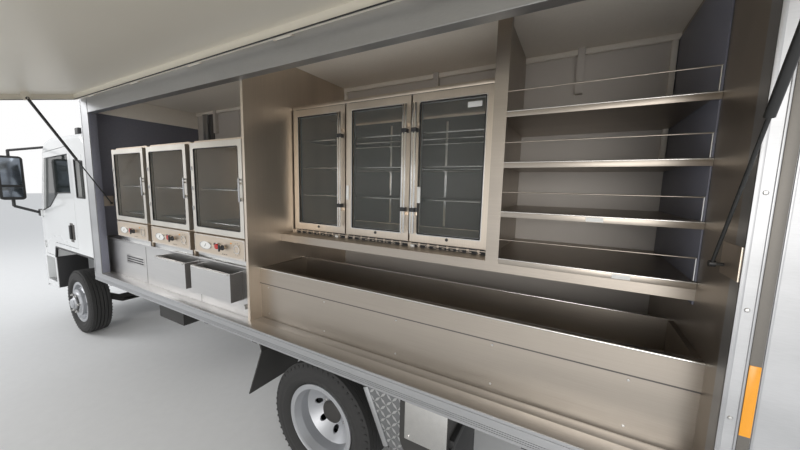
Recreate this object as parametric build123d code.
from build123d import *
from math import atan2, cos, degrees, hypot, radians, sin
import os

# Food truck: a cab-over light truck that carries a stainless vending body with two bays back to back.
# Millimetres. While it is modelled, X = 0 is the rear axle and the front is toward -X, Y = 0 is the truck's
# centre plane and the serving side faces -Y, Z = 0 is the ground. At the end everything is moved by
# X_SHIFT and Y_SHIFT, so that the origin lies under the middle of the box around the whole part.
# A depth is measured inwards from the body's side plane, and side is -1 on the left and +1 on the right.

# Wheels
WHEELBASE = 3845
TYRE_RADIUS = 384
TYRE_WIDTH = 205
TYRE_SIDES = 48
BEAD_RADIUS = 222
FLANGE_RADIUS = 243
RIM_WIDTH = 164
RIM_WALL = 8
TWIN_GAP = 30
WHEEL_INSET = 100
DISC_WALL = 10
HAND_HOLE_RADIUS = 20
HAND_HOLE_CIRCLE = 148
HAND_HOLES = 8
HUB_RADIUS = 72
HUB_LENGTH = 78
DRUM_RADIUS = 158
SPINDLE_RADIUS = 32
SHAFT_CLEARANCE = 0.3

# Axles and steering
KINGPIN_Y = 770
KINGPIN_RADIUS = 18
STEER_DEGREES = 35
BEAM_DROP = 60
BEAM_HEIGHT = 80
BEAM_WIDTH = 90
BEAM_EYE_RADIUS = 40
AXLE_TUBE_RADIUS = 58
DIFF_RADIUS = 165
SPRING_LENGTH = 1150
SPRING_WIDTH = 65
SPRING_LEAF = 12
SPRING_LEAVES = 4
SPRING_Y = 430

# Chassis
FRAME_WIDTH = 750
RAIL_HEIGHT = 190
RAIL_FLANGE = 62
RAIL_WALL = 8
RAIL_TOP = 715
RAIL_FRONT = -4780
RAIL_REAR = 1800
CROSSMEMBER_WIDTH = 60
RUNNER_HEIGHT = 40
BEARER_WIDTH = 50
BEARER_INSET = 90

# Body
BODY_HALF = 1080
BODY_FRONT = -2955
BODY_REAR = 1900
FRONT_POST = 175
REAR_POST = 200
FLOOR_BOTTOM = 835
DECK_TOP = 920
SILL_DEPTH = 60
FLOOR_WALL = 40
WALL = 40
FRAME_DEPTH = 60
HEADER_BOTTOM = 2475
HEADER_TOP = 2620
ROOF_TOP = 2725
ROOF_WALL = 36
ROOF_RADIUS = 70
CENTRE_WALL = 30
UPRIGHT = 40

# Canopies: a panel with a flange all round, hinged on the header
CANOPY_SHEET = 8
CANOPY_FLANGE = 53
CANOPY_EDGE = 22
CANOPY_GAP = 6
CANOPY_BOTTOM = 880
HINGE_OUT = 9
HINGE_Z = 2606
HINGE_RADIUS = 7
HINGE_PIN = 4
HINGE_STATIONS = 6
HINGE_KNUCKLE = 110
HINGE_LUG = 14
CANOPY_OPEN = 76

# Gas struts
STRUT_INSET = 32
STRUT_FOOT_DEPTH = 106
STRUT_FOOT_Z = 1623
STRUT_ARM = 380
STRUT_EYE_OUT = 0
STRUT_TUBE_RADIUS = 11
STRUT_TUBE = 545
STRUT_BORE = 6.5
STRUT_ROD_RADIUS = 5
STRUT_ROD = 520
STUD_RADIUS = 8
BRACKET_WALL = 4

# Partition, centre post and jambs
PARTITION_X = -590
PARTITION_WALL = 15
PARTITION_DEPTH = 67

# Fridge
FRIDGE_DOORS = 3
FRIDGE_DOOR_WIDTH = 477
FRIDGE_DOOR_CLEAR = 10
FRIDGE_DOOR_BOTTOM = 1516
FRIDGE_DOOR_TOP = 2373
FRIDGE_DEPTH = 456
FRIDGE_DOOR = 40
FRIDGE_FRAME = 52
FRIDGE_SIDE_GAP = 12
FRIDGE_WALL = 35
FRIDGE_BOTTOM = 1436
GRILLE_SLOTS = 9
GRILLE_ROWS = 3
FRIDGE_OPEN = 80
FRIDGE_RACKS = [1760, 1960, 2160]
FRIDGE_RACK_WALL = 12
DOOR_GAP = 11
DOOR_BACK_GAP = 8
PANE = 5
PANE_LAP = 12
PANE_SEAT = 0.2
PIVOT_INSET = 12
PIVOT_RADIUS = 4
PIVOT_LENGTH = 12
HANDLE_OUT = 34
HANDLE_BAR = 9

# Warmers
WARMERS = 3
WARMER_WIDTH = 600
WARMER_PITCH = 664
WARMER_FIRST = -2545
WARMER_DOOR_BOTTOM = 1478
WARMER_DOOR_TOP = 2126
WARMER_DEPTH = 70
WARMER_DOOR = 28
WARMER_FRAME = 42
WARMER_WALL = 20
WARMER_BACK = 640
WARMER_TOP = 2145
WARMER_OPEN = 90
WARMER_RACK = 1790
WARMER_RACK_WALL = 8
BASE_DEPTH = 90
BASE_TOP = 1275
BASE_WALL = 15
BIN_OUT = 88
BIN_BOTTOM = 1042
BIN_TOP = 1240

# Ice trough
TROUGH_DEPTH = 153
TROUGH_WIDTH = 420
TROUGH_TOP = 1274
TROUGH_FLOOR = 1060
TROUGH_WALL = 20
SEAM_Z = 1171
SEAM_STEP = 8

# Shelf rack
SHELF_FRONT = 329
SHELF_WALL = 20
SHELF_LIP = 26
DIVIDER_FRONT = 905
DIVIDER_WIDTH = 62
SHELF_LEVELS = [1506, 1736, 1968, 2200]
RAIL_ABOVE_SHELF = 92
WIRE_RADIUS = 3
COUNTER_BEAM = 70

# Cab
CAB_HALF = 1000
CAB_REAR = -3235
CAB_FACE = -4900
CAB_ROOF = 2345
CAB_WALL = 40
CAB_SIDE_RADIUS = 60
CAB_FLOOR = 1000
CAB_FRONT_BOTTOM = 860
SKIRT_BOTTOM = 800
TUNNEL_HALF = 345
TUNNEL_TOP = 1150
STEP_BOTTOM = 450
STEP_FRONT = -4885
STEP_REAR = -4480
STEP_WIDTH = 300
TILT_X = -4700
TILT_Z = 800
TILT_PIN = 14
TILT_DEGREES = 45
DOOR_FRONT = -4800
DOOR_REAR = -3660
CAB_DOOR = 55
CAB_DOOR_GAP = 6
CAB_DOOR_OPEN = 70
CAB_GLASS = 6
DOOR_AXIS_OUT = 10
DOOR_KNUCKLE = 60
DOOR_KNUCKLE_RADIUS = 9
DOOR_LEAF = 36
DOOR_HINGES = [1000, 1400]
BUMPER_FRONT = -4970
BUMPER_WALL = 30
BUMPER_BOTTOM = 420
BUMPER_TOP = 700
BUMPER_DEPTH = 75
BUMPER_RADIUS = 68

# Values that follow from those above
WHEEL_Y = BODY_HALF - WHEEL_INSET - RIM_WIDTH / 2
DISC_OFFSET = (TYRE_WIDTH + TWIN_GAP) / 2
FRONT_AXLE_X = -WHEELBASE
RAIL_BOTTOM = RAIL_TOP - RAIL_HEIGHT
OPEN_FRONT = BODY_FRONT + FRONT_POST
OPEN_REAR = BODY_REAR - REAR_POST
RIM_CENTRE_REAR = WHEEL_Y
FRIDGE_FIRST = PARTITION_X + PARTITION_WALL + FRIDGE_DOOR_CLEAR
FRIDGE_PITCH = FRIDGE_DOOR_WIDTH + DOOR_GAP
FRIDGE_LAST = FRIDGE_FIRST + FRIDGE_DOORS * FRIDGE_PITCH - DOOR_GAP
CANOPY_OUT = CANOPY_GAP + CANOPY_FLANGE
STRUT_X = (OPEN_FRONT + STRUT_INSET, OPEN_REAR - STRUT_INSET)

# The open canopy and the mirrors reach out further on the left than anything does on the right.
CANOPY_TIP = HINGE_OUT + (HINGE_Z - CANOPY_BOTTOM) * sin(radians(CANOPY_OPEN)) + (
    CANOPY_OUT - HINGE_OUT
) * cos(radians(CANOPY_OPEN))
MIRROR_REACH = 330
X_SHIFT = -(BUMPER_FRONT + BODY_REAR + 30) / 2
Y_SHIFT = (BODY_HALF + CANOPY_TIP - (CAB_HALF + MIRROR_REACH)) / 2


def block(x, y, z):
    """A box between two limits on each axis."""
    size = [abs(b - a) for a, b in (x, y, z)]
    return Pos(*[(a + b) / 2 for a, b in (x, y, z)]) * Box(*size)


def at_depth(side, depth):
    """The Y of a plane that lies this deep inside the body's side."""
    return side * (BODY_HALF - depth)


def across(side, outer, inner):
    """The Y limits between two depths."""
    return at_depth(side, outer), at_depth(side, inner)


def rod(start, end, radius):
    """A round bar from one point to another."""
    start, end = Vector(*start), Vector(*end)
    along = end - start
    plane = Plane(origin=start, z_dir=along)
    return plane * Cylinder(radius, along.length, align=(Align.CENTER, Align.CENTER, Align.MIN))


def side_slab(points, y):
    """A slab whose outline (x, z) is seen from the side, between two values of Y."""
    face = make_face(Polyline(*[(px, y[0], pz) for px, pz in points], close=True))
    return extrude(face, amount=y[1] - y[0], dir=(0, 1, 0))


def end_slab(points, x):
    """A slab whose outline (y, z) is seen from the end, between two values of X."""
    face = make_face(Polyline(*[(x[0], py, pz) for py, pz in points], close=True))
    return extrude(face, amount=x[1] - x[0], dir=(1, 0, 0))


def turned(profile, centre, side):
    """A ring turned about the wheel's axis. Its profile holds (radius, distance outwards)."""
    face = make_face(Polyline(*[(r, side * out) for r, out in profile], close=True))
    return Pos(*centre) * revolve(face, Axis.Y)


# Wheels


def rim(side, centre_y, disc):
    """One rim. disc is +1 where the wheel disc domes outwards, as at the front, and -1 where inwards."""
    half = RIM_WIDTH / 2
    lip = 7
    well = BEAD_RADIUS - 14
    barrel = [
        (FLANGE_RADIUS, half),
        (FLANGE_RADIUS, half - lip),
        (BEAD_RADIUS, half - lip),
        (well, half - 45),
        (well, -half + 45),
        (BEAD_RADIUS, -half + lip),
        (FLANGE_RADIUS, -half + lip),
        (FLANGE_RADIUS, -half),
        (BEAD_RADIUS - RIM_WALL, -half),
        (well - RIM_WALL, -half + 45),
        (well - RIM_WALL, half - 45),
        (BEAD_RADIUS - RIM_WALL, half),
    ]
    seat = disc * (half - 50)
    face = disc * DISC_OFFSET
    web = [
        (well - RIM_WALL + 1, seat),
        (well - RIM_WALL + 1, seat - disc * DISC_WALL),
        (HAND_HOLE_CIRCLE - 34, face - disc * DISC_WALL),
        (SPINDLE_RADIUS + SHAFT_CLEARANCE, face - disc * DISC_WALL),
        (SPINDLE_RADIUS + SHAFT_CLEARANCE, face),
        (HAND_HOLE_CIRCLE - 34, face),
    ]
    centre = (0, side * centre_y, 0)
    wheel = turned(barrel, centre, side) + turned(web, centre, side)
    for hole in range(HAND_HOLES):
        turn = radians(360 / HAND_HOLES * hole)
        px = HAND_HOLE_CIRCLE * cos(turn)
        pz = HAND_HOLE_CIRCLE * sin(turn)
        reach = side * centre_y + side * disc * (half - 60)
        far = reach + side * disc * 90
        wheel -= rod((px, reach, pz), (px, far, pz), HAND_HOLE_RADIUS)
    return wheel


def faceted(profile, sides, centre, side):
    """A ring of flat faces about the wheel's axis, with a corner straight below. Its profile holds
    (radius at the corners, distance outwards)."""
    faces = []
    for step in range(sides):
        turns = [radians(360 / sides * (step + more) - 90) for more in (0, 1)]
        for (r0, out0), (r1, out1) in zip(profile, profile[1:] + profile[:1]):
            corners = [(r0, out0, turns[0]), (r1, out1, turns[0]), (r1, out1, turns[1]), (r0, out0, turns[1])]
            points = [(r * cos(turn), side * out, r * sin(turn)) for r, out, turn in corners]
            faces.append(make_face(Polyline(*points, close=True)).face())
    return Pos(*centre) * Solid(Shell(faces))


def tyre(side, centre_y):
    """One tyre, seated between its rim's flanges. It has flat faces, because round ones take four times the
    triangles in the mesh, and all six tyres have to stay within 6,000."""
    half = TYRE_WIDTH / 2
    bead = RIM_WIDTH / 2 - 7 - 1
    bore = (BEAD_RADIUS + 0.5) / cos(radians(180 / TYRE_SIDES))
    profile = [
        (bore, bead),
        (FLANGE_RADIUS + 4, bead),
        (FLANGE_RADIUS + 30, half),
        (TYRE_RADIUS - 45, half),
        (TYRE_RADIUS, half - 22),
        (TYRE_RADIUS, -half + 22),
        (TYRE_RADIUS - 45, -half),
        (FLANGE_RADIUS + 30, -half),
        (FLANGE_RADIUS + 4, -bead),
        (bore, -bead),
    ]
    return faceted(profile, TYRE_SIDES, (0, side * centre_y, 0), side)


def hub(side, face_y, outwards, inwards):
    """Hub, bored for its spindle, with its cap outside the wheel disc."""
    bore = SPINDLE_RADIUS + SHAFT_CLEARANCE
    profile = [
        (bore, -inwards),
        (DRUM_RADIUS, -inwards),
        (DRUM_RADIUS, -DISC_WALL - 4),
        (HUB_RADIUS + 34, -DISC_WALL),
        (HUB_RADIUS, 0),
        (HUB_RADIUS, outwards - 16),
        (HUB_RADIUS - 16, outwards),
        (0, outwards),
        (0, outwards - 12),
        (bore, outwards - 12),
    ]
    return turned(profile, (0, side * face_y, 0), side)


def at_axle(shape, x):
    return Pos(x, 0, TYRE_RADIUS) * shape


def front_rim(side):
    face = WHEEL_Y + DISC_OFFSET
    wheel = rim(side, WHEEL_Y, 1) + hub(side, face, 34, 150)
    return at_axle(wheel, FRONT_AXLE_X)


def front_tyre(side):
    return at_axle(tyre(side, WHEEL_Y), FRONT_AXLE_X)


def rear_rims(side):
    face = WHEEL_Y - DISC_OFFSET
    pair = rim(side, WHEEL_Y, -1) + rim(side, face - DISC_OFFSET, 1) + hub(side, face, HUB_LENGTH, 165)
    return at_axle(pair, 0)


def rear_tyres(side):
    outer = tyre(side, WHEEL_Y)
    inner = tyre(side, WHEEL_Y - 2 * DISC_OFFSET)
    return Compound([at_axle(outer, 0), at_axle(inner, 0)])


# Axles, chassis and what hangs from it


def leaf_spring(side, axle_x, top):
    """A pack of leaves, longest on top, with its shackle eyes on the rail."""
    y = (side * SPRING_Y - SPRING_WIDTH / 2, side * SPRING_Y + SPRING_WIDTH / 2)
    pack = None
    for leaf in range(SPRING_LEAVES):
        half = SPRING_LENGTH / 2 * (1 - 0.19 * leaf)
        z = top - SPRING_LEAF * leaf
        rise = 60 * (1 - 0.19 * leaf) ** 2
        arc = ThreePointArc((-half, y[0], z + rise), (0, y[0], z), (half, y[0], z + rise))
        low = ThreePointArc((half, y[0], z + rise - SPRING_LEAF), (0, y[0], z - SPRING_LEAF),
                            (-half, y[0], z + rise - SPRING_LEAF))
        ends = [Line(arc @ 1, low @ 0), Line(low @ 1, arc @ 0)]
        piece = extrude(make_face([arc, ends[0], low, ends[1]]), amount=y[1] - y[0], dir=(0, 1, 0))
        pack = piece if pack is None else pack + piece
    for end in (-1, 1):
        eye_x = end * SPRING_LENGTH / 2
        pack += rod((eye_x, y[0], top + 60), (eye_x, y[1], top + 60), 22)
        inner = side * (FRAME_WIDTH / 2)
        hanger_y = (inner, side * (SPRING_Y + SPRING_WIDTH / 2))
        pack += block((eye_x - 22, eye_x + 22), hanger_y, (top + 60, RAIL_BOTTOM + 60))
    return Pos(axle_x, 0, 0) * pack


def front_axle():
    z = TYRE_RADIUS
    low = z - BEAM_DROP
    outline = [
        (-KINGPIN_Y, z - BEAM_HEIGHT / 2),
        (-KINGPIN_Y, z + BEAM_HEIGHT / 2),
        (-KINGPIN_Y + 60, z + BEAM_HEIGHT / 2),
        (-KINGPIN_Y + 170, low + BEAM_HEIGHT / 2),
        (KINGPIN_Y - 170, low + BEAM_HEIGHT / 2),
        (KINGPIN_Y - 60, z + BEAM_HEIGHT / 2),
        (KINGPIN_Y, z + BEAM_HEIGHT / 2),
        (KINGPIN_Y, z - BEAM_HEIGHT / 2),
        (KINGPIN_Y - 60, z - BEAM_HEIGHT / 2),
        (KINGPIN_Y - 170, low - BEAM_HEIGHT / 2),
        (-KINGPIN_Y + 170, low - BEAM_HEIGHT / 2),
        (-KINGPIN_Y + 60, z - BEAM_HEIGHT / 2),
    ]
    beam = end_slab(outline, (FRONT_AXLE_X - BEAM_WIDTH / 2, FRONT_AXLE_X + BEAM_WIDTH / 2))
    web = 22
    for edge in (-1, 1):
        groove_x = (FRONT_AXLE_X + edge * web / 2, FRONT_AXLE_X + edge * (BEAM_WIDTH / 2 + 1))
        half = KINGPIN_Y - 190
        beam -= block(groove_x, (-half, half), (low - BEAM_HEIGHT / 2 + 16, low + BEAM_HEIGHT / 2 - 16))
    bore = KINGPIN_RADIUS + SHAFT_CLEARANCE
    for side in (-1, 1):
        y = side * KINGPIN_Y
        low_end, high_end = z - BEAM_HEIGHT / 2, z + BEAM_HEIGHT / 2
        beam += rod((FRONT_AXLE_X, y, low_end), (FRONT_AXLE_X, y, high_end), BEAM_EYE_RADIUS)
        beam -= rod((FRONT_AXLE_X, y, low_end - 1), (FRONT_AXLE_X, y, high_end + 1), bore)
    top = low + BEAM_HEIGHT / 2 + SPRING_LEAF * SPRING_LEAVES
    for side in (-1, 1):
        beam += leaf_spring(side, FRONT_AXLE_X, top)
    return beam


def knuckle(side):
    """Fork round the beam's end, kingpin, and the spindle that the hub runs on."""
    z = TYRE_RADIUS
    fork = BEAM_HEIGHT / 2 + 1.5
    y = side * KINGPIN_Y
    outer = side * (WHEEL_Y + DISC_OFFSET - 150)
    piece = block((-38, 38), (y - side * 38, outer - side * 4), (z + fork, z + fork + 26))
    piece += block((-38, 38), (y - side * 38, outer - side * 4), (z - fork - 26, z - fork))
    piece += block((-46, 46), (y + side * 46, outer - side * 4), (z - fork - 26, z + fork + 26))
    piece += rod((0, y, z - fork - 30), (0, y, z + fork + 30), KINGPIN_RADIUS)
    piece += rod((0, outer - side * 20, z), (0, side * (WHEEL_Y + DISC_OFFSET + 12), z), SPINDLE_RADIUS)
    piece += block((40, 190), (y + side * 50, y + side * 76), (z - fork - 24, z - fork))
    return Pos(FRONT_AXLE_X, 0, 0) * piece


def rear_axle():
    z = TYRE_RADIUS
    drum_inside = WHEEL_Y - DISC_OFFSET - 165
    end = drum_inside - 4
    tube = rod((0, -end, z), (0, end, z), AXLE_TUBE_RADIUS)
    spindle = WHEEL_Y - DISC_OFFSET + HUB_LENGTH - 24
    tube += rod((0, -spindle, z), (0, spindle, z), SPINDLE_RADIUS)
    case = turned([(0, -115), (90, -115), (DIFF_RADIUS, -45), (DIFF_RADIUS, 45), (90, 115), (0, 115)],
                  (0, 0, z), 1)
    nose = rod((0, 0, z), (-235, 0, z + 10), 62)
    axle = tube + case + nose
    for side in (-1, 1):
        seat_y = (side * SPRING_Y - 45, side * SPRING_Y + 45)
        axle += block((-60, 60), seat_y, (z, z + AXLE_TUBE_RADIUS + 6))
        top = z + AXLE_TUBE_RADIUS + 6 + SPRING_LEAF * SPRING_LEAVES
        axle += leaf_spring(side, 0, top)
    return axle


CROSSMEMBERS = [-4650, -3000, -2300, -1500, -700, 700, 1500]
BEARERS = [-2900, -2320, -1740, -1160, -585, 640, 1180, 1720]
BEARER_BOTTOM = RAIL_TOP + RUNNER_HEIGHT


def chassis_frame():
    """The two rails, each with the runner under the body and the tower that the cab tilts on."""
    rails = []
    for side in (-1, 1):
        outer = side * FRAME_WIDTH / 2
        inner = outer - side * RAIL_FLANGE
        web = outer - side * RAIL_WALL
        section = [
            (outer, RAIL_BOTTOM),
            (outer, RAIL_TOP),
            (inner, RAIL_TOP),
            (inner, RAIL_TOP - RAIL_WALL),
            (web, RAIL_TOP - RAIL_WALL),
            (web, RAIL_BOTTOM + RAIL_WALL),
            (inner, RAIL_BOTTOM + RAIL_WALL),
            (inner, RAIL_BOTTOM),
        ]
        rail = end_slab(section, (RAIL_FRONT, RAIL_REAR))
        rail += block((BODY_FRONT, RAIL_REAR), (inner, outer), (RAIL_TOP, BEARER_BOTTOM))
        tower_z = (RAIL_TOP - RAIL_WALL, TILT_Z + 30)
        rail += block((TILT_X - 35, TILT_X + 35), (side * 300, outer), tower_z)
        rail += rod((TILT_X, side * 290, TILT_Z), (TILT_X, side * 450, TILT_Z), TILT_PIN)
        rails.append(rail)
    return Compound(rails)


def crossmembers():
    """What ties the rails together, below their top flanges."""
    reach = FRAME_WIDTH / 2 - RAIL_WALL
    z = (RAIL_BOTTOM + 90, RAIL_TOP - RAIL_WALL)
    half = CROSSMEMBER_WIDTH / 2
    return Compound([block((x - half, x + half), (-reach, reach), z) for x in CROSSMEMBERS])


def bearers():
    """The beams across the runners that carry the body's floor."""
    reach = BODY_HALF - BEARER_INSET
    half = BEARER_WIDTH / 2
    return Compound([block((x - half, x + half), (-reach, reach), (BEARER_BOTTOM, FLOOR_BOTTOM)) for x in BEARERS])


def driveline():
    engine = block((-4330, -3560), (-285, 285), (500, 1080))
    gearbox = block((-3560, -3120), (-150, 150), (430, 760))
    shaft = rod((-3120, 0, 560), (-236.5, 0, TYRE_RADIUS + 10), 42)
    line = engine + gearbox + shaft
    web = FRAME_WIDTH / 2 - RAIL_WALL
    for x in (-4150, -3750):
        line += block((x, x + 70), (-web, web), (590, 640))
    return line


def under_boxes():
    """Fuel tank on the right, battery box on the left, and a guard before and behind each rear wheel."""
    pieces = []
    rail = FRAME_WIDTH / 2
    tank = block((-2350, -1500), (rail + 60, rail + 520), (430, 740))
    tank = fillet(tank.edges().filter_by(Axis.X), 60)
    for x in (-2200, -1690):
        tank += block((x, x + 50), (rail, rail + 70), (RAIL_BOTTOM + 20, RAIL_TOP - 20))
    pieces.append(tank)
    box = block((-2350, -1900), (-rail - 420, -rail - 30), (480, 740))
    box += block((-2300, -2250), (-rail - 40, -rail), (RAIL_BOTTOM + 20, RAIL_TOP - 20))
    box += block((-2000, -1950), (-rail - 40, -rail), (RAIL_BOTTOM + 20, RAIL_TOP - 20))
    pieces.append(box)
    for side in (-1, 1):
        y = across(side, 105, 545)
        flap = side_slab([(-560, FLOOR_BOTTOM), (-552, FLOOR_BOTTOM), (-525, 700), (-676, 330), (-684, 333),
                          (-534, 701), (-560, 760)], y)
        pieces.append(flap)
        top = BEARER_BOTTOM
        post = side_slab([(332, top), (362, top), (504, 453), (474, 453)], across(side, 96, 106))
        tread = side_slab([(350, top), (490, 453), (600, 453), (600, top)], across(side, 102, 108))
        locker = block((570, 830), across(side, 90, 545), (452, top))
        low = locker.edges().filter_by(Axis.Y).sort_by(Axis.Z)[:2]
        pieces.append(post + tread + fillet(low, 110))
    return Compound(pieces)


def bumpers():
    front = block((BUMPER_FRONT, BUMPER_FRONT + BUMPER_DEPTH), (-CAB_HALF, CAB_HALF), (BUMPER_BOTTOM, BUMPER_TOP))
    corners = front.edges().filter_by(Axis.Z).sort_by(Axis.X)[:2]
    front = fillet(corners, BUMPER_RADIUS)
    inner = CAB_HALF - BUMPER_WALL
    hollow = block((BUMPER_FRONT + BUMPER_WALL, BUMPER_FRONT + BUMPER_DEPTH + 1), (-inner, inner),
                   (BUMPER_BOTTOM - 1, BUMPER_TOP + 1))
    corners = hollow.edges().filter_by(Axis.Z).sort_by(Axis.X)[:2]
    front -= fillet(corners, BUMPER_RADIUS - BUMPER_WALL)
    front -= block((BUMPER_FRONT - 1, BUMPER_FRONT + BUMPER_WALL + 1), (-330, 330), (500, 620))
    for side in (-1, 1):
        y = (side * (FRAME_WIDTH / 2 - 60), side * FRAME_WIDTH / 2)
        front += block((BUMPER_FRONT + BUMPER_WALL - 1, RAIL_FRONT), y, (RAIL_BOTTOM, 610))
    rear = block((BODY_REAR - 60, BODY_REAR), (-BODY_HALF + 60, BODY_HALF - 60), (560, 680))
    for side in (-1, 1):
        y = (side * (FRAME_WIDTH / 2 - 60), side * FRAME_WIDTH / 2)
        rear += block((RAIL_REAR, BODY_REAR - 59), y, (RAIL_BOTTOM + 20, RAIL_TOP - 15))
    return Compound([front, rear])


def tail_lamps():
    lamps = []
    for side in (-1, 1):
        for inner, outer in ((560, 700), (710, 850), (860, 1000)):
            y = (side * inner, side * outer)
            lamps.append(block((BODY_REAR, BODY_REAR + 30), y, (575, 665)))
    return Compound(lamps)


# Body


def body_floor():
    floor = block((BODY_FRONT, BODY_REAR), (-BODY_HALF, BODY_HALF), (FLOOR_BOTTOM, DECK_TOP))
    inner = BODY_HALF - SILL_DEPTH
    floor -= block((BODY_FRONT + 30, BODY_REAR - 30), (-inner, inner), (FLOOR_BOTTOM - 1, DECK_TOP - FLOOR_WALL))
    for x in BEARERS:
        width = (x - BEARER_WIDTH / 2 - 12, x + BEARER_WIDTH / 2 + 12)
        floor += block(width, (-inner, inner), (FLOOR_BOTTOM, DECK_TOP - FLOOR_WALL))
    return floor


def end_walls():
    walls = []
    space = inside_space()
    for x0, x1 in ((BODY_FRONT, BODY_FRONT + WALL), (BODY_REAR - WALL, BODY_REAR)):
        walls.append(space & block((x0, x1), (-BODY_HALF, BODY_HALF), (DECK_TOP, ROOF_TOP)))
    return Compound(walls)


def side_frames():
    """Per side one portal: front post, rear post and the header over the opening."""
    frames = []
    for side in (-1, 1):
        y = across(side, 0, FRAME_DEPTH)
        portal = block((BODY_FRONT, BODY_REAR), y, (DECK_TOP, HEADER_TOP))
        portal -= block((OPEN_FRONT, OPEN_REAR), across(side, -1, FRAME_DEPTH + 1), (DECK_TOP - 1, HEADER_BOTTOM))
        frames.append(portal)
    return Compound(frames)


def inside_space():
    """The room inside the body, up to the ceiling with its rounded corners."""
    half = BODY_HALF - FRAME_DEPTH
    space = block((BODY_FRONT - 1, BODY_REAR + 1), (-half, half), (DECK_TOP, ROOF_TOP - ROOF_WALL))
    crown = space.edges().filter_by(Axis.X).sort_by(Axis.Z)[-2:]
    return fillet(crown, ROOF_RADIUS - ROOF_WALL)


def body_roof():
    outer = block((BODY_FRONT, BODY_REAR), (-BODY_HALF, BODY_HALF), (HEADER_TOP, ROOF_TOP))
    crown = outer.edges().filter_by(Axis.X).sort_by(Axis.Z)[-2:]
    return fillet(crown, ROOF_RADIUS) - inside_space()


UPRIGHTS = [-2500, -1560, 300, 1240]


def centre_wall():
    half = CENTRE_WALL / 2
    inside = (BODY_FRONT + WALL, BODY_REAR - WALL)
    wall = block(inside, (-half, half), (DECK_TOP, ROOF_TOP - ROOF_WALL))
    for x in UPRIGHTS:
        width = (x - UPRIGHT / 2, x + UPRIGHT / 2)
        wall += block(width, (-half - UPRIGHT, half + UPRIGHT), (FRIDGE_TOP + 20, ROOF_TOP - ROOF_WALL))
    return wall


FRIDGE_TOP = FRIDGE_DOOR_TOP + FRIDGE_WALL


def hinge_stations():
    """X of the middle of each hinge along a canopy."""
    run = OPEN_REAR - OPEN_FRONT - 300
    return [OPEN_FRONT + 150 + run * i / (HINGE_STATIONS - 1) for i in range(HINGE_STATIONS)]


def canopy_fittings():
    """Hinge lugs and pins on each header, and the plates that the gas struts stand on."""
    pieces = []
    for side in (-1, 1):
        axis_y = at_depth(side, -HINGE_OUT)
        for x in hinge_stations():
            lug = None
            for end in (-1, 1):
                near = x + end * (HINGE_KNUCKLE / 2 + 1)
                far = near + end * HINGE_LUG
                ear = rod((near, axis_y, HINGE_Z), (far, axis_y, HINGE_Z), HINGE_RADIUS)
                ear += block((near, far), (axis_y, at_depth(side, 0)), (HINGE_Z - 4, HINGE_Z + 4))
                lug = ear if lug is None else lug + ear
            reach = HINGE_KNUCKLE / 2 + 2
            lug += rod((x - reach, axis_y, HINGE_Z), (x + reach, axis_y, HINGE_Z), HINGE_PIN)
            pieces.append(lug)
        for x, edge in zip(STRUT_X, (OPEN_FRONT, OPEN_REAR)):
            toward = 1 if x > edge else -1
            plate_x = (edge, edge + toward * BRACKET_WALL)
            plate = block(plate_x, across(side, 4, STRUT_FOOT_DEPTH + 28), (STRUT_FOOT_Z - 30, STRUT_FOOT_Z + 70))
            pieces.append(plate)
    return Compound(pieces)


# Canopy and struts


def swing(side, out, z, angle):
    """Where a point of the closed canopy goes when it opens by an angle: (outwards, z)."""
    rel = (out - HINGE_OUT, z - HINGE_Z)
    turn = radians(angle)
    return (
        HINGE_OUT + rel[0] * cos(turn) - rel[1] * sin(turn),
        HINGE_Z + rel[0] * sin(turn) + rel[1] * cos(turn),
    )


def opened(shape, side, angle):
    """Turns a shape that was made closed about the canopy's hinge."""
    pivot = Pos(0, at_depth(side, -HINGE_OUT), HINGE_Z)
    return pivot * Rot(X=side * angle) * pivot.inverse() * shape


def canopy(side, angle):
    x = (BODY_FRONT + 2, BODY_REAR - 2)
    z = (CANOPY_BOTTOM, HINGE_Z - 8)
    panel = block(x, across(side, -CANOPY_OUT, -CANOPY_GAP), z)
    rim_in = CANOPY_EDGE
    panel -= block((x[0] + rim_in, x[1] - rim_in), across(side, -CANOPY_OUT + CANOPY_SHEET, -CANOPY_GAP + 1),
                   (z[0] + rim_in, z[1] - rim_in))
    axis_y = at_depth(side, -HINGE_OUT)
    for px in hinge_stations():
        ends = (px - HINGE_KNUCKLE / 2, px + HINGE_KNUCKLE / 2)
        knuckle_tube = rod((ends[0], axis_y, HINGE_Z), (ends[1], axis_y, HINGE_Z), HINGE_RADIUS)
        knuckle_tube += block(ends, across(side, -HINGE_OUT - 8, -HINGE_OUT - 4), (HINGE_Z - 16, HINGE_Z))
        knuckle_tube -= rod((ends[0] - 1, axis_y, HINGE_Z), (ends[1] + 1, axis_y, HINGE_Z),
                            HINGE_PIN + SHAFT_CLEARANCE)
        panel += knuckle_tube
    eye = eye_place(0)
    for px in STRUT_X:
        toward = 1 if px < 0 else -1
        ear_x = (px - toward * (STRUT_TUBE_RADIUS + 6), px - toward * (STRUT_TUBE_RADIUS + 1))
        ear = block(ear_x, (at_depth(side, -eye[0] + 14), at_depth(side, -CANOPY_OUT + 1)),
                    (eye[1] - 26, eye[1] + 26))
        pin_x = (px - toward * (STRUT_TUBE_RADIUS + 2), px + toward * STUD_RADIUS)
        ear += rod((pin_x[0], at_depth(side, -eye[0]), eye[1]), (pin_x[1], at_depth(side, -eye[0]), eye[1]), 4)
        panel += ear
    return opened(panel, side, angle)


def eye_place(angle):
    """The strut's upper eye, as (outwards, z), with the canopy open by an angle."""
    return swing(1, STRUT_EYE_OUT, HINGE_Z - STRUT_ARM, angle)


FOOT = (-STRUT_FOOT_DEPTH, STRUT_FOOT_Z)


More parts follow.
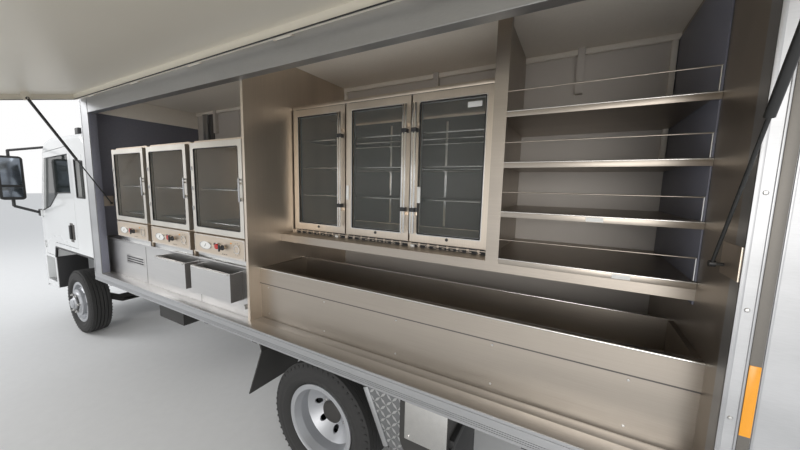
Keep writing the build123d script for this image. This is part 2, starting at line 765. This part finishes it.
def strut_line(angle):
    """Length of the strut and its slope from the vertical, with the canopy open by an angle."""
    eye = eye_place(angle)
    out, up = eye[0] - FOOT[0], eye[1] - FOOT[1]
    return hypot(out, up), degrees(atan2(out, up))


STRUT_LONG, STRUT_LEAN_OPEN = strut_line(CANOPY_OPEN)
STRUT_SHORT, STRUT_LEAN_CLOSED = strut_line(0)


def strut_tubes(side, angle):
    """Both tubes of a canopy, hanging from its pins."""
    length, lean = strut_line(angle)
    eye = eye_place(angle)
    pieces = []
    for px in STRUT_X:
        tube = rod((px, 0, -STRUT_TUBE), (px, 0, -14), STRUT_TUBE_RADIUS)
        tube -= rod((px, 0, -STRUT_TUBE - 1), (px, 0, -40), STRUT_BORE)
        head = rod((px - STUD_RADIUS, 0, 0), (px + STUD_RADIUS, 0, 0), 11)
        neck = block((px - 6, px + 6), (-6, 6), (-20, 0))
        tube = tube + head + neck
        tube -= rod((px - STUD_RADIUS - 1, 0, 0), (px + STUD_RADIUS + 1, 0, 0), 4 + SHAFT_CLEARANCE)
        pieces.append(place_strut(tube, side, eye, lean))
    return Compound(pieces)


def strut_rods(side, angle):
    """Both rods, each with the eye and stud at its foot. The stud stops just short of the plate."""
    length, lean = strut_line(angle)
    eye = eye_place(angle)
    pieces = []
    for px, edge in zip(STRUT_X, (OPEN_FRONT, OPEN_REAR)):
        toward = 1 if px > edge else -1
        piece = rod((px, 0, -length), (px, 0, -length + STRUT_ROD), STRUT_ROD_RADIUS)
        piece += rod((px - STUD_RADIUS, 0, -length), (px + STUD_RADIUS, 0, -length), 10)
        stud_end = edge + toward * (BRACKET_WALL + 0.5)
        piece += rod((px, 0, -length), (stud_end, 0, -length), 5)
        pieces.append(place_strut(piece, side, eye, lean))
    return Compound(pieces)


def place_strut(shape, side, eye, lean):
    """Moves a strut part, drawn straight down from the eye, to the eye and to its slope."""
    return Pos(0, at_depth(side, -eye[0]), eye[1]) * Rot(X=-side * lean) * shape


# Glazed doors


def glazed_door(x, z, depth, thick, frame, side=-1):
    """A door frame with a rebate behind its opening, and the pane that sits in the rebate."""
    leaf = block(x, across(side, depth, depth + thick), z)
    opening_x = (x[0] + frame, x[1] - frame)
    opening_z = (z[0] + frame, z[1] - frame)
    front = thick * 0.35
    leaf -= block(opening_x, across(side, depth - 1, depth + thick + 1), opening_z)
    rebate_x = (opening_x[0] - PANE_LAP, opening_x[1] + PANE_LAP)
    rebate_z = (opening_z[0] - PANE_LAP, opening_z[1] + PANE_LAP)
    leaf -= block(rebate_x, across(side, depth + front, depth + thick + 1), rebate_z)
    pane = block(
        (rebate_x[0] + PANE_SEAT, rebate_x[1] - PANE_SEAT),
        across(side, depth + front + PANE_SEAT, depth + front + PANE_SEAT + PANE),
        (rebate_z[0] + PANE_SEAT, rebate_z[1] - PANE_SEAT),
    )
    return leaf, pane


def pivot_x(x, hand):
    return x[0] + PIVOT_INSET if hand < 0 else x[1] - PIVOT_INSET


def with_pivots(leaf, x, z, depth, hand, side=-1):
    """Bores the door's corners for its two pivot pins."""
    px = pivot_x(x, hand)
    y = at_depth(side, depth + PIVOT_INSET)
    radius = PIVOT_RADIUS + SHAFT_CLEARANCE
    for end, into in ((z[0], 1), (z[1], -1)):
        leaf -= rod((px, y, end - into), (px, y, end + into * (PIVOT_LENGTH + 1)), radius)
    return leaf


def pivots(x, z, depth, back, hand, side=-1):
    """Brackets on a cabinet's front, with the pins that a door turns on."""
    px = pivot_x(x, hand)
    y = at_depth(side, depth + PIVOT_INSET)
    piece = None
    for end, into in ((z[0], 1), (z[1], -1)):
        low = end - into * 1.5
        arm = block((px - 9, px + 9), across(side, depth + 3, back), (low - into * 5, low))
        pin = rod((px, y, low - into * 1), (px, y, end + into * PIVOT_LENGTH), PIVOT_RADIUS)
        piece = arm + pin if piece is None else piece + arm + pin
    return piece


def fridge_door_x(index):
    x0 = FRIDGE_FIRST + index * FRIDGE_PITCH
    return x0, x0 + FRIDGE_DOOR_WIDTH


def fridge_hand(index):
    return 1 if index == FRIDGE_DOORS - 1 else -1


def bar_handle(x, z, depth, side=-1):
    """A double bar handle that stands off the door on two feet."""
    low, high = z
    out = depth - HANDLE_OUT
    bar = None
    for shift in (-9, 9):
        piece = block((x + shift - HANDLE_BAR / 2, x + shift + HANDLE_BAR / 2),
                      across(side, out, out + HANDLE_BAR), (low, high))
        bar = piece if bar is None else bar + piece
    for foot in (low + 30, high - 50):
        bar += block((x - 14, x + 14), across(side, out + HANDLE_BAR - 1, depth), (foot, foot + 20))
    return bar


def fridge_door(index):
    x = fridge_door_x(index)
    z = (FRIDGE_DOOR_BOTTOM, FRIDGE_DOOR_TOP)
    leaf, pane = glazed_door(x, z, FRIDGE_DEPTH, FRIDGE_DOOR, FRIDGE_FRAME)
    hand = fridge_hand(index)
    handle_x = x[1] - 26 if hand < 0 else x[0] + 26
    middle = (z[0] + z[1]) / 2
    leaf += bar_handle(handle_x, (middle - 300, middle + 300), FRIDGE_DEPTH)
    return with_pivots(leaf, x, z, FRIDGE_DEPTH, hand), pane


def warmer_x(index):
    x0 = WARMER_FIRST + index * WARMER_PITCH
    return x0, x0 + WARMER_WIDTH


def warmer_door(index):
    x = warmer_x(index)
    z = (WARMER_DOOR_BOTTOM, WARMER_DOOR_TOP)
    leaf, pane = glazed_door(x, z, WARMER_DEPTH, WARMER_DOOR, WARMER_FRAME)
    latch_x = x[1] - 16
    middle = (z[0] + z[1]) / 2
    for shift in (-60, 40):
        foot = (latch_x, at_depth(-1, WARMER_DEPTH), middle + shift)
        tip = (latch_x, at_depth(-1, WARMER_DEPTH - 16), middle + shift)
        leaf += rod(foot, tip, 7)
    return with_pivots(leaf, x, z, WARMER_DEPTH, -1), pane


# Serving bay


def partition():
    x = (PARTITION_X, PARTITION_X + PARTITION_WALL)
    back = BODY_HALF - CENTRE_WALL / 2
    wall = block(x, across(-1, PARTITION_DEPTH, back), (DECK_TOP, ROOF_TOP - ROOF_WALL))
    bar = block((x[0] - 8, x[1]), across(-1, PARTITION_DEPTH - 5, PARTITION_DEPTH + 15), (DECK_TOP, ROOF_TOP))
    return (wall + bar) & inside_space()


def fridge_cabinet():
    front = FRIDGE_DEPTH + FRIDGE_DOOR + DOOR_BACK_GAP
    back = BODY_HALF - CENTRE_WALL / 2
    x = (PARTITION_X + PARTITION_WALL, DIVIDER_FRONT)
    z = (FRIDGE_BOTTOM, FRIDGE_TOP)
    box = block(x, across(-1, front, back), z)
    box -= block((x[0] + FRIDGE_WALL, x[1] - FRIDGE_WALL), across(-1, front - 1, back - FRIDGE_WALL),
                 (FRIDGE_DOOR_BOTTOM + 20, z[1] - FRIDGE_WALL))
    plinth_top = FRIDGE_DOOR_BOTTOM - 8
    plinth = block(x, across(-1, FRIDGE_DEPTH + 4, front + 1), (z[0], plinth_top))
    pitch = FRIDGE_DOOR_WIDTH / GRILLE_SLOTS
    for door in range(FRIDGE_DOORS):
        x0 = fridge_door_x(door)[0]
        for row in range(GRILLE_ROWS):
            low = z[0] + 22 + row * 15
            for slot in range(GRILLE_SLOTS):
                sx = x0 + 12 + pitch * slot
                plinth -= block((sx, sx + pitch - 14), across(-1, FRIDGE_DEPTH, FRIDGE_DEPTH + 24), (low, low + 7))
    box += plinth
    for door in range(FRIDGE_DOORS):
        door_z = (FRIDGE_DOOR_BOTTOM, FRIDGE_DOOR_TOP)
        box += pivots(fridge_door_x(door), door_z, FRIDGE_DEPTH, front + 1, fridge_hand(door))
    return box


def warmer_cabinets():
    boxes = []
    front = WARMER_DEPTH + WARMER_DOOR + DOOR_BACK_GAP
    for index in range(WARMERS):
        x = warmer_x(index)
        box = block(x, across(-1, front, WARMER_BACK), (BASE_TOP, WARMER_TOP))
        box -= block((x[0] + WARMER_WALL, x[1] - WARMER_WALL), across(-1, front - 1, WARMER_BACK - WARMER_WALL),
                     (WARMER_DOOR_BOTTOM + 12, WARMER_TOP - WARMER_WALL))
        panel_z = (BASE_TOP + 50, WARMER_DOOR_BOTTOM - 12)
        box += block(x, across(-1, WARMER_DEPTH, front + 1), panel_z)
        mid_z = (panel_z[0] + panel_z[1]) / 2
        for shift, radius, proud in ((0.5, 17, 12), (0.62, 11, 20), (0.86, 24, 4)):
            px = x[0] + WARMER_WIDTH * shift
            box += rod((px, at_depth(-1, WARMER_DEPTH), mid_z), (px, at_depth(-1, WARMER_DEPTH - proud), mid_z),
                       radius)
        door_z = (WARMER_DOOR_BOTTOM, WARMER_DOOR_TOP)
        box += pivots(x, door_z, WARMER_DEPTH, front + 1, -1)
        boxes.append(box)
    return Compound(boxes)


def cabinet_racks():
    """Plain shelves inside the fridge and the warmers."""
    pieces = []
    front = FRIDGE_DEPTH + FRIDGE_DOOR + DOOR_BACK_GAP + 20
    back = BODY_HALF - CENTRE_WALL / 2 - FRIDGE_WALL
    inside = (PARTITION_X + PARTITION_WALL + FRIDGE_WALL, DIVIDER_FRONT - FRIDGE_WALL)
    for level in FRIDGE_RACKS:
        pieces.append(block(inside, across(-1, front, back), (level, level + FRIDGE_RACK_WALL)))
    front = WARMER_DEPTH + WARMER_DOOR + DOOR_BACK_GAP + 20
    for index in range(WARMERS):
        x = warmer_x(index)
        inside = (x[0] + WARMER_WALL, x[1] - WARMER_WALL)
        for level in (WARMER_RACK,):
            pieces.append(block(inside, across(-1, front, WARMER_BACK - WARMER_WALL), (level, level + WARMER_RACK_WALL)))
    return Compound(pieces)


BINS = [(-1701, -1241), (-1163, -688)]


def warmer_base():
    x = (BODY_FRONT + WALL, PARTITION_X)
    back = BODY_HALF - CENTRE_WALL / 2
    base = block(x, across(-1, BASE_DEPTH, back), (DECK_TOP, BASE_TOP))
    base -= block((x[0] + BASE_WALL, x[1] - BASE_WALL), across(-1, BASE_DEPTH + BASE_WALL, back + 1),
                  (DECK_TOP - 1, BASE_TOP - BASE_WALL))
    base -= block((-2440, -2110), across(-1, BASE_DEPTH - 1, BASE_DEPTH + BASE_WALL + 1), (1080, 1100))
    base -= block((-2440, -2110), across(-1, BASE_DEPTH - 1, BASE_DEPTH + BASE_WALL + 1), (1120, 1140))
    for x0, x1 in BINS:
        drawer = block((x0, x1), across(-1, BASE_DEPTH - BIN_OUT, BASE_DEPTH + 1), (BIN_BOTTOM, BIN_TOP))
        drawer -= block((x0 + 12, x1 - 12), across(-1, BASE_DEPTH - BIN_OUT + 12, BASE_DEPTH + 2),
                        (BIN_BOTTOM + 12, BIN_TOP + 1))
        base += drawer
    base += rod((-650, at_depth(-1, BASE_DEPTH), 1000), (-650, at_depth(-1, BASE_DEPTH - 22), 1000), 16)
    return base


def ice_trough():
    x = (PARTITION_X + PARTITION_WALL, OPEN_REAR)
    back = TROUGH_DEPTH + TROUGH_WIDTH
    tub = block(x, across(-1, TROUGH_DEPTH, back), (DECK_TOP, TROUGH_TOP))
    tub -= block((x[0] + TROUGH_WALL, x[1] - TROUGH_WALL),
                 across(-1, TROUGH_DEPTH + TROUGH_WALL, back - TROUGH_WALL), (TROUGH_FLOOR, TROUGH_TOP + 1))
    tub -= block((x[0] + TROUGH_WALL, x[1] - TROUGH_WALL),
                 across(-1, TROUGH_DEPTH + TROUGH_WALL, back - TROUGH_WALL),
                 (DECK_TOP - 1, TROUGH_FLOOR - TROUGH_WALL))
    tub += block(x, across(-1, TROUGH_DEPTH - SEAM_STEP, TROUGH_DEPTH + 1), (SEAM_Z, TROUGH_TOP))
    return tub


def shelf_rack():
    """Divider post and panel, four shelves with lips and wire rails, and the beam under the fridge."""
    back = BODY_HALF - CENTRE_WALL / 2
    divider = (DIVIDER_FRONT, DIVIDER_FRONT + DIVIDER_WIDTH)
    rack = block(divider, across(-1, SHELF_FRONT, SHELF_FRONT + 40), (FRIDGE_BOTTOM, ROOF_TOP - ROOF_WALL))
    rack += block((divider[0], divider[0] + SHELF_WALL), across(-1, SHELF_FRONT, back),
                  (FRIDGE_BOTTOM, ROOF_TOP - ROOF_WALL))
    run = (divider[0], OPEN_REAR + REAR_POST - WALL)
    for level in SHELF_LEVELS:
        rack += block(run, across(-1, SHELF_FRONT, back), (level - 8, level))
        rack += block((run[0], OPEN_REAR), across(-1, SHELF_FRONT, SHELF_FRONT + 8), (level - SHELF_LIP, level))
    for level in SHELF_LEVELS:
        z = level + RAIL_ABOVE_SHELF
        y = at_depth(-1, SHELF_FRONT + 12)
        rack += rod((divider[1] - 1, y, z), (OPEN_REAR + 60, y, z), WIRE_RADIUS)
    beam_z = (FRIDGE_BOTTOM, FRIDGE_BOTTOM + COUNTER_BEAM)
    rack += block((divider[0], run[1]), across(-1, SHELF_FRONT, SHELF_FRONT + 8), beam_z)
    left = (PARTITION_X + PARTITION_WALL, DIVIDER_FRONT)
    rack += block(left, across(-1, SHELF_FRONT, SHELF_FRONT + 8), (beam_z[0], beam_z[1] - 20))
    rack += block(left, across(-1, SHELF_FRONT, FRIDGE_DEPTH + 4), (beam_z[1] - 28, beam_z[1] - 20))
    cheek = (OPEN_REAR, OPEN_REAR + 15)
    rack += block(cheek, across(-1, FRAME_DEPTH, back), (DECK_TOP, ROOF_TOP - ROOF_WALL))
    return rack & inside_space()


RIGHT_SHELVES = [1650, 2100]


def right_bay():
    """Far side: a counter on the floor and open shelves behind the closed canopy."""
    back = BODY_HALF - CENTRE_WALL / 2
    x = (OPEN_FRONT, OPEN_REAR)
    counter = block(x, across(1, 110, back), (DECK_TOP, 1250))
    counter -= block((x[0] + 20, x[1] - 20), across(1, 109, back - 20), (DECK_TOP + 40, 1225))
    pieces = counter
    for px in (OPEN_FRONT, -1300, 200, OPEN_REAR - 20):
        pieces += block((px, px + 20), across(1, SHELF_FRONT, back), (1250, ROOF_TOP - ROOF_WALL))
    for level in RIGHT_SHELVES:
        pieces += block(x, across(1, SHELF_FRONT, back), (level - 8, level))
        pieces += block(x, across(1, SHELF_FRONT, SHELF_FRONT + 8), (level - SHELF_LIP, level))
    return pieces


# Cab

CAB_OUTLINE = [
    (CAB_FACE, CAB_FRONT_BOTTOM),
    (CAB_FACE - 22, 1100),
    (CAB_FACE - 12, 1400),
    (CAB_FACE + 290, 2215),
    (CAB_FACE + 400, CAB_ROOF - 30),
    (CAB_FACE + 600, CAB_ROOF),
    (CAB_REAR - 70, CAB_ROOF - 5),
    (CAB_REAR, CAB_ROOF - 70),
    (CAB_REAR, CAB_FLOOR),
    (STEP_REAR + 45, CAB_FLOOR),
    (STEP_REAR, CAB_FRONT_BOTTOM),
]

DOOR_OUTLINE = [
    (DOOR_FRONT, 880),
    (DOOR_FRONT, 1480),
    (DOOR_FRONT + 238, 2170),
    (DOOR_REAR - 40, 2215),
    (DOOR_REAR, 2170),
    (DOOR_REAR, CAB_FLOOR + 60),
    (STEP_REAR + 60, CAB_FLOOR + 60),
    (STEP_REAR - 20, 880),
]

SIDE_WINDOW = [
    (DOOR_FRONT + 60, 1455),
    (DOOR_FRONT + 262, 2105),
    (DOOR_REAR - 75, 2135),
    (DOOR_REAR - 75, 1705),
    (DOOR_FRONT + 640, 1690),
    (DOOR_FRONT + 330, 1520),
]

QUARTER_WINDOW = [
    (DOOR_REAR + 120, 1650),
    (DOOR_REAR + 120, 2060),
    (CAB_REAR - 80, 2040),
    (CAB_REAR - 80, 1650),
]


def grown(points, amount):
    """An outline (x, z) moved outwards all round, with sharp corners."""
    face = make_face(Polyline(*[(px, pz) for px, pz in points], close=True))
    face = offset(face, amount, kind=Kind.INTERSECTION)
    wire = face.faces()[0].outer_wire()
    return [(v.X, v.Y) for v in (edge @ 0 for edge in wire.order_edges())]


def cab_solid():
    solid = side_slab(CAB_OUTLINE, (-CAB_HALF, CAB_HALF))
    edges = [
        edge
        for edge in solid.edges()
        if abs(abs(edge.center().Y) - CAB_HALF) < 1
        and edge.center().Z > 1200
        and not (abs(edge.center().X - CAB_REAR) < 1)
    ]
    return fillet(edges, CAB_SIDE_RADIUS)


def cab_shell():
    solid = cab_solid()
    inner = side_slab(grown(CAB_OUTLINE, -CAB_WALL), (-CAB_HALF + CAB_WALL, CAB_HALF - CAB_WALL))
    shell = solid - inner
    tunnel = block((-4420, CAB_REAR + 1), (-TUNNEL_HALF, TUNNEL_HALF), (CAB_FLOOR - 1, TUNNEL_TOP))
    cover = block((-4440, CAB_REAR), (-TUNNEL_HALF - 20, TUNNEL_HALF + 20), (CAB_FLOOR, TUNNEL_TOP + 20))
    shell = shell + cover - tunnel
    shell += block((CAB_FACE, CAB_FACE + CAB_WALL), (-CAB_HALF, CAB_HALF), (SKIRT_BOTTOM, CAB_FRONT_BOTTOM))
    shell -= block((CAB_FACE - 100, -4480), (-870, 870), (1450, 2165))
    shell -= block((CAB_REAR - 60, CAB_REAR + 10), (-690, 690), (1560, 2090))
    hole = grown(DOOR_OUTLINE, CAB_DOOR_GAP)
    for side in (-1, 1):
        band = (side * (CAB_HALF - CAB_DOOR - 8), side * (CAB_HALF + 10))
        shell -= side_slab(hole, band)
        shell -= side_slab(QUARTER_WINDOW, band)
        step = block((STEP_FRONT, STEP_REAR), (side * (CAB_HALF - STEP_WIDTH), side * CAB_HALF),
                     (STEP_BOTTOM, CAB_FRONT_BOTTOM + 1))
        step -= block((STEP_FRONT + 40, STEP_REAR - 40), (side * (CAB_HALF - 200), side * (CAB_HALF + 1)),
                      (STEP_BOTTOM + 70, CAB_FRONT_BOTTOM - 20))
        step -= block((STEP_FRONT + 40, STEP_REAR - 40),
                      (side * (CAB_HALF - STEP_WIDTH - 1), side * (CAB_HALF - 230)),
                      (STEP_BOTTOM - 1, CAB_FRONT_BOTTOM - 20))
        shell += step
        lug = block((TILT_X - 40, TILT_X + 40), (side * (FRAME_WIDTH / 2 + 5), side * (FRAME_WIDTH / 2 + 45)),
                    (TILT_Z - 40, CAB_FRONT_BOTTOM + 60))
        lug -= rod((TILT_X, side * 370, TILT_Z), (TILT_X, side * 440, TILT_Z), TILT_PIN + SHAFT_CLEARANCE)
        shell += lug
    for side in (-1, 1):
        for z in DOOR_HINGES:
            shell += door_hinge(side, z, False)
    for row in range(4):
        low = 1130 + row * 50
        shell -= block((CAB_FACE - 40, CAB_FACE + 6), (-520, 520), (low, low + 26))
    return shell


def door_hinge(side, z, on_door):
    """One hinge outside the door's front edge: its half on the door, or its lugs and pin on the pillar."""
    y = side * (CAB_HALF + DOOR_AXIS_OUT)
    leaf_y = (side * CAB_HALF, side * (CAB_HALF + DOOR_AXIS_OUT - 3))
    half = DOOR_KNUCKLE / 2
    bore = HINGE_PIN + SHAFT_CLEARANCE
    if on_door:
        piece = rod((DOOR_FRONT, y, z - half), (DOOR_FRONT, y, z + half), DOOR_KNUCKLE_RADIUS)
        piece += block((DOOR_FRONT, DOOR_FRONT + DOOR_LEAF), leaf_y, (z - half, z + half))
        return piece - rod((DOOR_FRONT, y, z - half - 1), (DOOR_FRONT, y, z + half + 1), bore)
    piece = rod((DOOR_FRONT, y, z - half - 3), (DOOR_FRONT, y, z + half + 3), HINGE_PIN)
    for end in (-1, 1):
        near = z + end * (half + 1)
        far = near + end * 16
        piece += rod((DOOR_FRONT, y, near), (DOOR_FRONT, y, far), DOOR_KNUCKLE_RADIUS)
        piece += block((DOOR_FRONT - DOOR_LEAF, DOOR_FRONT), leaf_y, (near, far))
    return piece


def cab_doors(side):
    band = (side * (CAB_HALF - CAB_DOOR), side * (CAB_HALF + 10))
    leaf = cab_solid() & side_slab(DOOR_OUTLINE, band)
    leaf -= side_slab(SIDE_WINDOW, (side * (CAB_HALF - CAB_DOOR - 1), side * (CAB_HALF + 11)))
    wide = grown(SIDE_WINDOW, PANE_LAP)
    leaf -= side_slab(wide, (side * (CAB_HALF - CAB_DOOR - 1), side * (CAB_HALF - 20)))
    leaf -= block((DOOR_REAR - 130, DOOR_REAR - 60), (side * (CAB_HALF - 18), side * (CAB_HALF + 1)), (1150, 1330))
    for z in DOOR_HINGES:
        leaf += door_hinge(side, z, True)
    pane = side_slab(grown(SIDE_WINDOW, PANE_LAP - PANE_SEAT),
                     (side * (CAB_HALF - 20 - PANE_SEAT - CAB_GLASS), side * (CAB_HALF - 20 - PANE_SEAT)))
    return leaf, pane


def cab_glass():
    x0, z0 = CAB_OUTLINE[2]
    x1, z1 = CAB_OUTLINE[3]
    run = hypot(x1 - x0, z1 - z0)
    along = ((x1 - x0) / run, (z1 - z0) / run)
    into = (along[1], -along[0])
    sheet = []
    for s, depth in ((32, 0), (run - 30, 0), (run - 30, CAB_GLASS), (32, CAB_GLASS)):
        reach = CAB_WALL + PANE_SEAT + depth
        sheet.append((x0 + along[0] * s + into[0] * reach, z0 + along[1] * s + into[1] * reach))
    pieces = [side_slab(sheet, (-890, 890))]
    x = CAB_REAR - CAB_WALL - PANE_SEAT
    pieces.append(block((x - CAB_GLASS, x), (-705, 705), (1545, 2105)))
    for side in (-1, 1):
        y = side * (CAB_HALF - CAB_WALL - PANE_SEAT)
        pieces.append(side_slab(grown(QUARTER_WINDOW, PANE_LAP), (y - side * CAB_GLASS, y)))
    return Compound(pieces)


def cab_interior():
    pieces = []
    for y0, y1 in ((-900, -380), (-340, 340), (380, 900)):
        floor_z = TUNNEL_TOP + 20 if abs(y0 + y1) < 10 else CAB_FLOOR + CAB_WALL
        seat = block((-4080, -3560), (y0, y1), (floor_z, 1420))
        seat += side_slab([(-3640, 1400), (-3640, 1440), (-3500, 2000), (-3400, 2000), (-3500, 1400)], (y0, y1))
        pieces.append(seat)
    dash = side_slab([(-4880, 1150), (-4872, 1380), (-4600, 1400), (-4480, 1300), (-4560, 1150)], (-930, 930))
    pieces.append(dash)
    wheel_plane = Plane(origin=(-4370, 640, 1480), z_dir=(0.42, 0, 0.9))
    wheel = wheel_plane * Torus(205, 14)
    column = rod((-4540, 640, 1300), (-4370, 640, 1480), 24)
    spoke = wheel_plane * Box(30, 400, 14)
    pieces.append(wheel + spoke + column)
    return Compound(pieces)


LAMP_BOTTOM = 890
LAMP_TOP = 1040


def face_x(z):
    """X of the cab's front face at a height below its first bend."""
    (x0, z0), (x1, z1) = CAB_OUTLINE[:2]
    return x0 + (x1 - x0) * (z - z0) / (z1 - z0)


def cab_lamps():
    pieces = []
    for side in (-1, 1):
        y = (side * 640, side * 960)
        low = face_x(LAMP_BOTTOM)
        high = face_x(LAMP_TOP)
        outline = [(low, LAMP_BOTTOM), (high, LAMP_TOP), (high - 10, LAMP_TOP), (low - 14, LAMP_BOTTOM)]
        pieces.append(side_slab(outline, y))
    return Compound(pieces)


def mirrors():
    """Per side a large mirror between two arms, with a round one under it."""
    pieces = []
    cab = cab_solid()
    for side in (-1, 1):
        out = side * (CAB_HALF + MIRROR_REACH)
        head = block((-4925, -4845), (out, out - side * 215), (1580, 2120))
        head = fillet(head.edges().filter_by(Axis.X), 40)
        stem_y = out - side * 110
        arms = rod((-4885, stem_y, 2110), (-4885, stem_y, 2195), 12)
        arms += rod((-4885, stem_y, 2188), (-4540, side * 900, 2258), 12)
        arms += rod((-4885, stem_y, 1590), (-4885, stem_y, 1495), 12)
        arms += rod((-4885, stem_y, 1502), (-4840, side * (CAB_HALF - 10), 1400), 12)
        pieces.append(head + (arms - cab))
    return Compound(pieces)


def write(name, shape):
    shape.label = name
    export_step(Pos(X_SHIFT, Y_SHIFT, 0) * shape, os.path.join("parts", name + ".step"))


def main():
    os.makedirs("parts", exist_ok=True)
    plain = {
        "chassis_frame": chassis_frame,
        "crossmembers": crossmembers,
        "bearers": bearers,
        "front_axle": front_axle,
        "rear_axle": rear_axle,
        "driveline": driveline,
        "under_boxes": under_boxes,
        "bumpers": bumpers,
        "tail_lamps": tail_lamps,
        "body_floor": body_floor,
        "end_walls": end_walls,
        "side_frames": side_frames,
        "body_roof": body_roof,
        "centre_wall": centre_wall,
        "canopy_fittings": canopy_fittings,
        "partition": partition,
        "fridge_cabinet": fridge_cabinet,
        "warmer_cabinets": warmer_cabinets,
        "cabinet_racks": cabinet_racks,
        "warmer_base": warmer_base,
        "ice_trough": ice_trough,
        "shelf_rack": shelf_rack,
        "right_bay": right_bay,
        "cab_shell": cab_shell,
        "cab_glass": cab_glass,
        "cab_interior": cab_interior,
        "cab_lamps": cab_lamps,
        "mirrors": mirrors,
    }
    for name, make in plain.items():
        write(name, make())
    for side, word, angle in ((-1, "left", CANOPY_OPEN), (1, "right", 0)):
        write(word + "_front_rim", front_rim(side))
        write(word + "_front_tyre", front_tyre(side))
        write(word + "_rear_rims", rear_rims(side))
        write(word + "_rear_tyres", rear_tyres(side))
        write(word + "_knuckle", knuckle(side))
        write(word + "_canopy", canopy(side, angle))
        write(word + "_strut_tubes", strut_tubes(side, angle))
        write(word + "_strut_rods", strut_rods(side, angle))
        leaf, pane = cab_doors(side)
        write(word + "_cab_door", leaf)
        write(word + "_cab_door_glass", pane)
    for index in range(FRIDGE_DOORS):
        leaf, pane = fridge_door(index)
        write(f"fridge_door_{index + 1}", leaf)
        write(f"fridge_pane_{index + 1}", pane)
    for index in range(WARMERS):
        leaf, pane = warmer_door(index)
        write(f"warmer_door_{index + 1}", leaf)
        write(f"warmer_pane_{index + 1}", pane)


if __name__ == "__main__":
    main()
